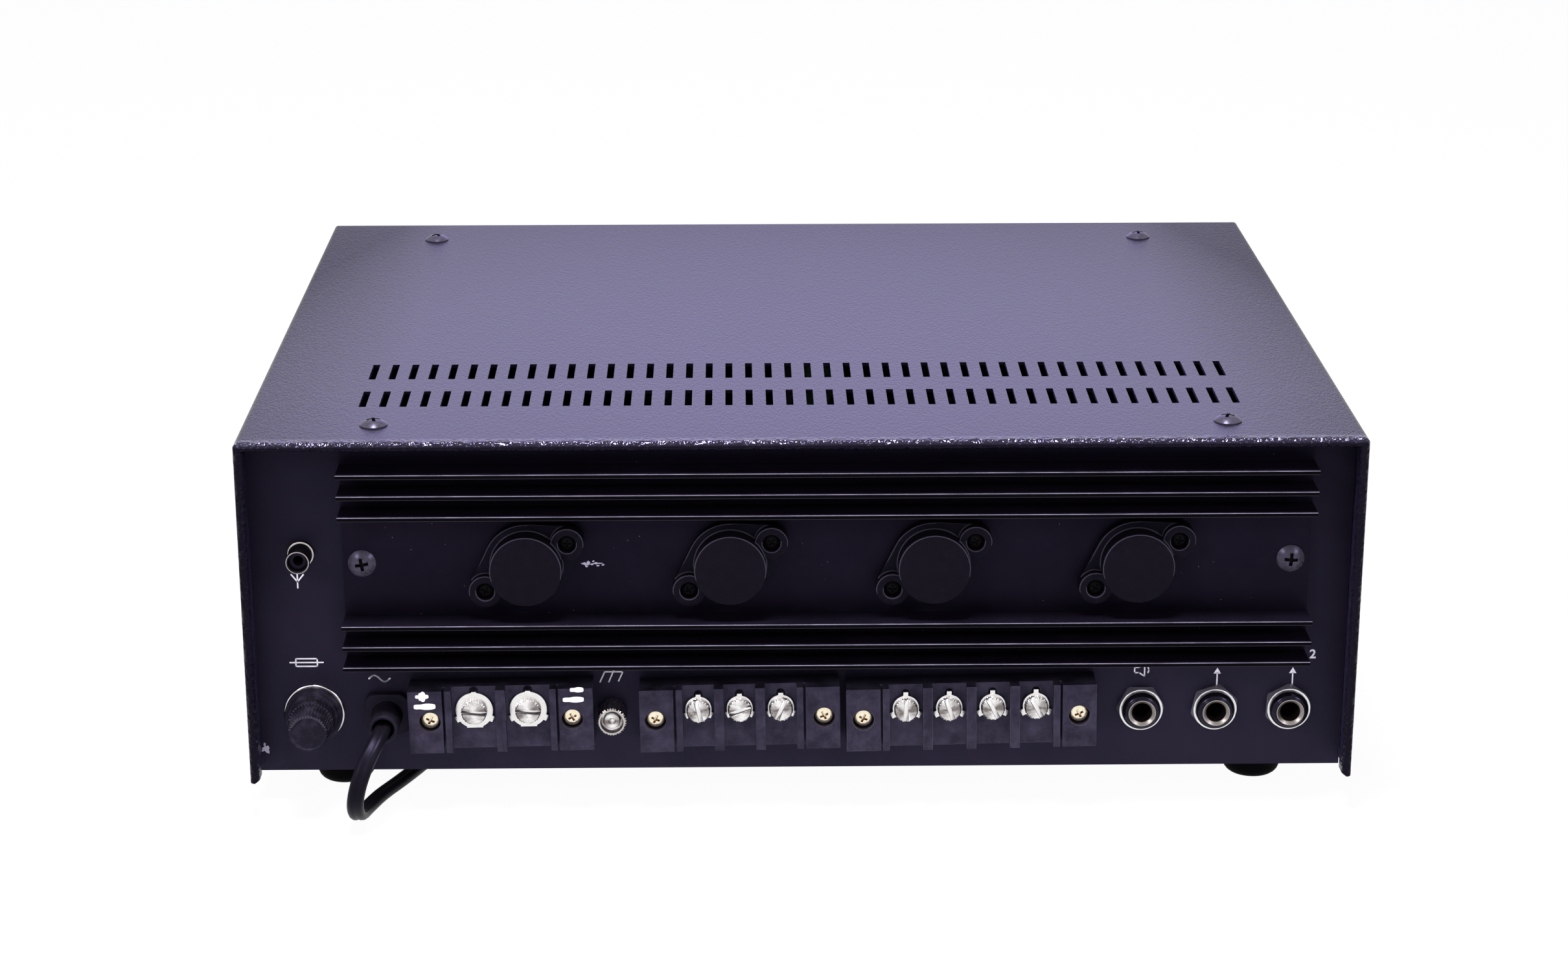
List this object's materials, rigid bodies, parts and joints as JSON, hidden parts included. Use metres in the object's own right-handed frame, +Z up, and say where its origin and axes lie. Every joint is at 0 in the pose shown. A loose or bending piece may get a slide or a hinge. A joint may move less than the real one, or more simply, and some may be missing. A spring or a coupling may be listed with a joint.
{
  "type": "public address amplifier",
  "caption": "Public address amplifier with a slotted steel cover, finned rear heatsink, screw terminal blocks, jack sockets, fuse holder, level knobs and a coiled mains cord.",
  "frame": {"origin": "middle of the amplifier's plan at the underside of its feet, the cord left out", "axes": "+Z up, +Y towards the rear connector panel, +X towards the fuse end of the rear panel"},
  "size_m": [0.35, 0.3864, 0.1276],
  "materials": {
    "cover_paint": "fine wrinkle texture, semi-matt black",
    "panel_paint": "fine wrinkle texture, semi-matt black",
    "black_screw": "black oxide, satin",
    "foot_rubber": "matt black",
    "black_anodised": "black anodised, satin",
    "transistor_steel": "plated, satin",
    "cover_plastic": "black moulding, fine grain",
    "nickel": "nickel plate, aged",
    "dark_insulator": "dark moulding",
    "fuse_plastic": "black phenolic, worn",
    "fuse_glass": "clear glass tube, taken as solid",
    "bushing_plastic": "black nylon",
    "cord_plastic": "black flexible vinyl, slight sheen",
    "tie_plastic": "black strap",
    "plug_plastic": "black moulded plug",
    "pin_metal": "nickel plated brass",
    "block_plastic": "black phenolic moulding",
    "brass_plate": "yellow zinc plate",
    "bright_plate": "bright zinc plate",
    "post_metal": "nickel plate, dull",
    "jack_plastic": "black, polished",
    "transformer_iron": "varnished laminations",
    "board_laminate": "green laminate",
    "capacitor_sleeve": "blue shrink sleeve",
    "pot_metal": "plated cans and shafts",
    "front_paint": "satin black",
    "knob_plastic": "black moulding",
    "switch_plastic": "black moulding",
    "rocker_red": "red moulding",
    "lamp_red": "red lens"
  },
  "bodies": {
    "amplifier": {"chassis": "panel_paint", "top_cover": "cover_paint", "case_screws": "black_screw", "rubber_feet": "foot_rubber", "heatsink": "black_anodised", "power_transistors": "transistor_steel", "transistor_covers": "cover_plastic", "transistor_screws": "black_screw", "antenna_socket": "nickel", "antenna_insulator": "dark_insulator", "fuse_holder": "fuse_plastic", "fuse_ring": "nickel", "cord_bushing": "bushing_plastic", "mains_cord": "cord_plastic", "cord_coil": "cord_plastic", "cord_tie": "tie_plastic", "mains_plug": "plug_plastic", "plug_pins": "pin_metal", "dc_terminal_block": "block_plastic", "speaker_terminal_block": "block_plastic", "line_terminal_block": "block_plastic", "terminal_block_screws": "brass_plate", "terminal_tags": "brass_plate", "ground_post": "post_metal", "jack_bodies": "jack_plastic", "jack_sleeves": "nickel", "jack_nuts": "nickel", "mains_transformer": "transformer_iron", "amplifier_board": "board_laminate", "reservoir_capacitors": "capacitor_sleeve", "control_pots": "pot_metal", "front_panel": "front_paint", "switch_frame": "switch_plastic", "pilot_lamp": "lamp_red"},
    "dc_clamp_1": {"dc_clamp_1": "bright_plate"},
    "dc_screw_1": {"dc_screw_1": "bright_plate"},
    "dc_clamp_2": {"dc_clamp_2": "bright_plate"},
    "dc_screw_2": {"dc_screw_2": "bright_plate"},
    "speaker_clamp_1": {"speaker_clamp_1": "bright_plate"},
    "speaker_screw_1": {"speaker_screw_1": "bright_plate"},
    "speaker_clamp_2": {"speaker_clamp_2": "bright_plate"},
    "speaker_screw_2": {"speaker_screw_2": "bright_plate"},
    "speaker_clamp_3": {"speaker_clamp_3": "bright_plate"},
    "speaker_screw_3": {"speaker_screw_3": "bright_plate"},
    "line_clamp_1": {"line_clamp_1": "bright_plate"},
    "line_screw_1": {"line_screw_1": "bright_plate"},
    "line_clamp_2": {"line_clamp_2": "bright_plate"},
    "line_screw_2": {"line_screw_2": "bright_plate"},
    "line_clamp_3": {"line_clamp_3": "bright_plate"},
    "line_screw_3": {"line_screw_3": "bright_plate"},
    "line_clamp_4": {"line_clamp_4": "bright_plate"},
    "line_screw_4": {"line_screw_4": "bright_plate"},
    "fuse_cartridge": {"fuse_cartridge": "fuse_glass"},
    "fuse_cap": {"fuse_cap": "fuse_plastic"},
    "ground_thumb_nut": {"ground_thumb_nut": "post_metal"},
    "level_knob_1": {"level_knob_1": "knob_plastic"},
    "level_knob_2": {"level_knob_2": "knob_plastic"},
    "level_knob_3": {"level_knob_3": "knob_plastic"},
    "level_knob_4": {"level_knob_4": "knob_plastic"},
    "power_rocker": {"power_rocker": "rocker_red"}
  },
  "joints": [
    {"name": "dc_clamp_1_lift", "type": "slide", "parent": "amplifier", "child": "dc_clamp_1", "axis": [0, 1, 0], "range_m": [0, 0.0021]},
    {"name": "dc_screw_1_turn", "type": "hinge", "parent": "dc_clamp_1", "child": "dc_screw_1", "pos_m": [0.10389, 0.13675, 0.03445], "axis": [0, 1, 0], "range_deg": [0, 1080]},
    {"name": "dc_clamp_2_lift", "type": "slide", "parent": "amplifier", "child": "dc_clamp_2", "axis": [0, 1, 0], "range_m": [0, 0.0021]},
    {"name": "dc_screw_2_turn", "type": "hinge", "parent": "dc_clamp_2", "child": "dc_screw_2", "pos_m": [0.0868, 0.13675, 0.03475], "axis": [0, 1, 0], "range_deg": [0, 1080]},
    {"name": "speaker_clamp_1_lift", "type": "slide", "parent": "amplifier", "child": "speaker_clamp_1", "axis": [0, 1, 0], "range_m": [0, 0.0021]},
    {"name": "speaker_screw_1_turn", "type": "hinge", "parent": "speaker_clamp_1", "child": "speaker_screw_1", "pos_m": [0.03284, 0.13675, 0.03437], "axis": [0, 1, 0], "range_deg": [0, 1080]},
    {"name": "speaker_clamp_2_lift", "type": "slide", "parent": "amplifier", "child": "speaker_clamp_2", "axis": [0, 1, 0], "range_m": [0, 0.0021]},
    {"name": "speaker_screw_2_turn", "type": "hinge", "parent": "speaker_clamp_2", "child": "speaker_screw_2", "pos_m": [0.01974, 0.13675, 0.0346], "axis": [0, 1, 0], "range_deg": [0, 1080]},
    {"name": "speaker_clamp_3_lift", "type": "slide", "parent": "amplifier", "child": "speaker_clamp_3", "axis": [0, 1, 0], "range_m": [0, 0.0021]},
    {"name": "speaker_screw_3_turn", "type": "hinge", "parent": "speaker_clamp_3", "child": "speaker_screw_3", "pos_m": [0.00665, 0.13675, 0.03483], "axis": [0, 1, 0], "range_deg": [0, 1080]},
    {"name": "line_clamp_1_lift", "type": "slide", "parent": "amplifier", "child": "line_clamp_1", "axis": [0, 1, 0], "range_m": [0, 0.0021]},
    {"name": "line_screw_1_turn", "type": "hinge", "parent": "line_clamp_1", "child": "line_screw_1", "pos_m": [-0.03306, 0.13675, 0.03424], "axis": [0, 1, 0], "range_deg": [0, 1080]},
    {"name": "line_clamp_2_lift", "type": "slide", "parent": "amplifier", "child": "line_clamp_2", "axis": [0, 1, 0], "range_m": [0, 0.0021]},
    {"name": "line_screw_2_turn", "type": "hinge", "parent": "line_clamp_2", "child": "line_screw_2", "pos_m": [-0.04686, 0.13675, 0.03448], "axis": [0, 1, 0], "range_deg": [0, 1080]},
    {"name": "line_clamp_3_lift", "type": "slide", "parent": "amplifier", "child": "line_clamp_3", "axis": [0, 1, 0], "range_m": [0, 0.0021]},
    {"name": "line_screw_3_turn", "type": "hinge", "parent": "line_clamp_3", "child": "line_screw_3", "pos_m": [-0.06065, 0.13675, 0.03472], "axis": [0, 1, 0], "range_deg": [0, 1080]},
    {"name": "line_clamp_4_lift", "type": "slide", "parent": "amplifier", "child": "line_clamp_4", "axis": [0, 1, 0], "range_m": [0, 0.0021]},
    {"name": "line_screw_4_turn", "type": "hinge", "parent": "line_clamp_4", "child": "line_screw_4", "pos_m": [-0.07445, 0.13675, 0.03496], "axis": [0, 1, 0], "range_deg": [0, 1080]},
    {"name": "fuse_pull", "type": "slide", "parent": "amplifier", "child": "fuse_cartridge", "axis": [0, 1, 0], "range_m": [0, 0.045]},
    {"name": "fuse_cap_turn", "type": "hinge", "parent": "fuse_cartridge", "child": "fuse_cap", "pos_m": [0.1555, 0.134, 0.031], "axis": [0, 1, 0], "range_deg": [0, 90]},
    {"name": "ground_nut_turn", "type": "hinge", "parent": "amplifier", "child": "ground_thumb_nut", "pos_m": [0.0603, 0.134, 0.031], "axis": [0, 1, 0], "range_deg": [0, 1080]},
    {"name": "level_knob_1_turn", "type": "hinge", "parent": "amplifier", "child": "level_knob_1", "pos_m": [-0.11, -0.138, 0.067], "axis": [0, -1, 0], "range_deg": [-150, 150]},
    {"name": "level_knob_2_turn", "type": "hinge", "parent": "amplifier", "child": "level_knob_2", "pos_m": [-0.058, -0.138, 0.067], "axis": [0, -1, 0], "range_deg": [-150, 150]},
    {"name": "level_knob_3_turn", "type": "hinge", "parent": "amplifier", "child": "level_knob_3", "pos_m": [-0.006, -0.138, 0.067], "axis": [0, -1, 0], "range_deg": [-150, 150]},
    {"name": "level_knob_4_turn", "type": "hinge", "parent": "amplifier", "child": "level_knob_4", "pos_m": [0.046, -0.138, 0.067], "axis": [0, -1, 0], "range_deg": [-150, 150]},
    {"name": "power_rocker_tilt", "type": "hinge", "parent": "amplifier", "child": "power_rocker", "pos_m": [0.138, -0.12925, 0.067], "axis": [1, 0, 0], "range_deg": [-24, 0]}
  ],
  "couplings": [
    {"joint": "dc_screw_1_turn", "follows": "dc_clamp_1_lift", "rad_per_m": 8975.9},
    {"joint": "dc_screw_2_turn", "follows": "dc_clamp_2_lift", "rad_per_m": 8975.9},
    {"joint": "speaker_screw_1_turn", "follows": "speaker_clamp_1_lift", "rad_per_m": 8975.9},
    {"joint": "speaker_screw_2_turn", "follows": "speaker_clamp_2_lift", "rad_per_m": 8975.9},
    {"joint": "speaker_screw_3_turn", "follows": "speaker_clamp_3_lift", "rad_per_m": 8975.9},
    {"joint": "line_screw_1_turn", "follows": "line_clamp_1_lift", "rad_per_m": 8975.9},
    {"joint": "line_screw_2_turn", "follows": "line_clamp_2_lift", "rad_per_m": 8975.9},
    {"joint": "line_screw_3_turn", "follows": "line_clamp_3_lift", "rad_per_m": 8975.9},
    {"joint": "line_screw_4_turn", "follows": "line_clamp_4_lift", "rad_per_m": 8975.9}
  ]
}
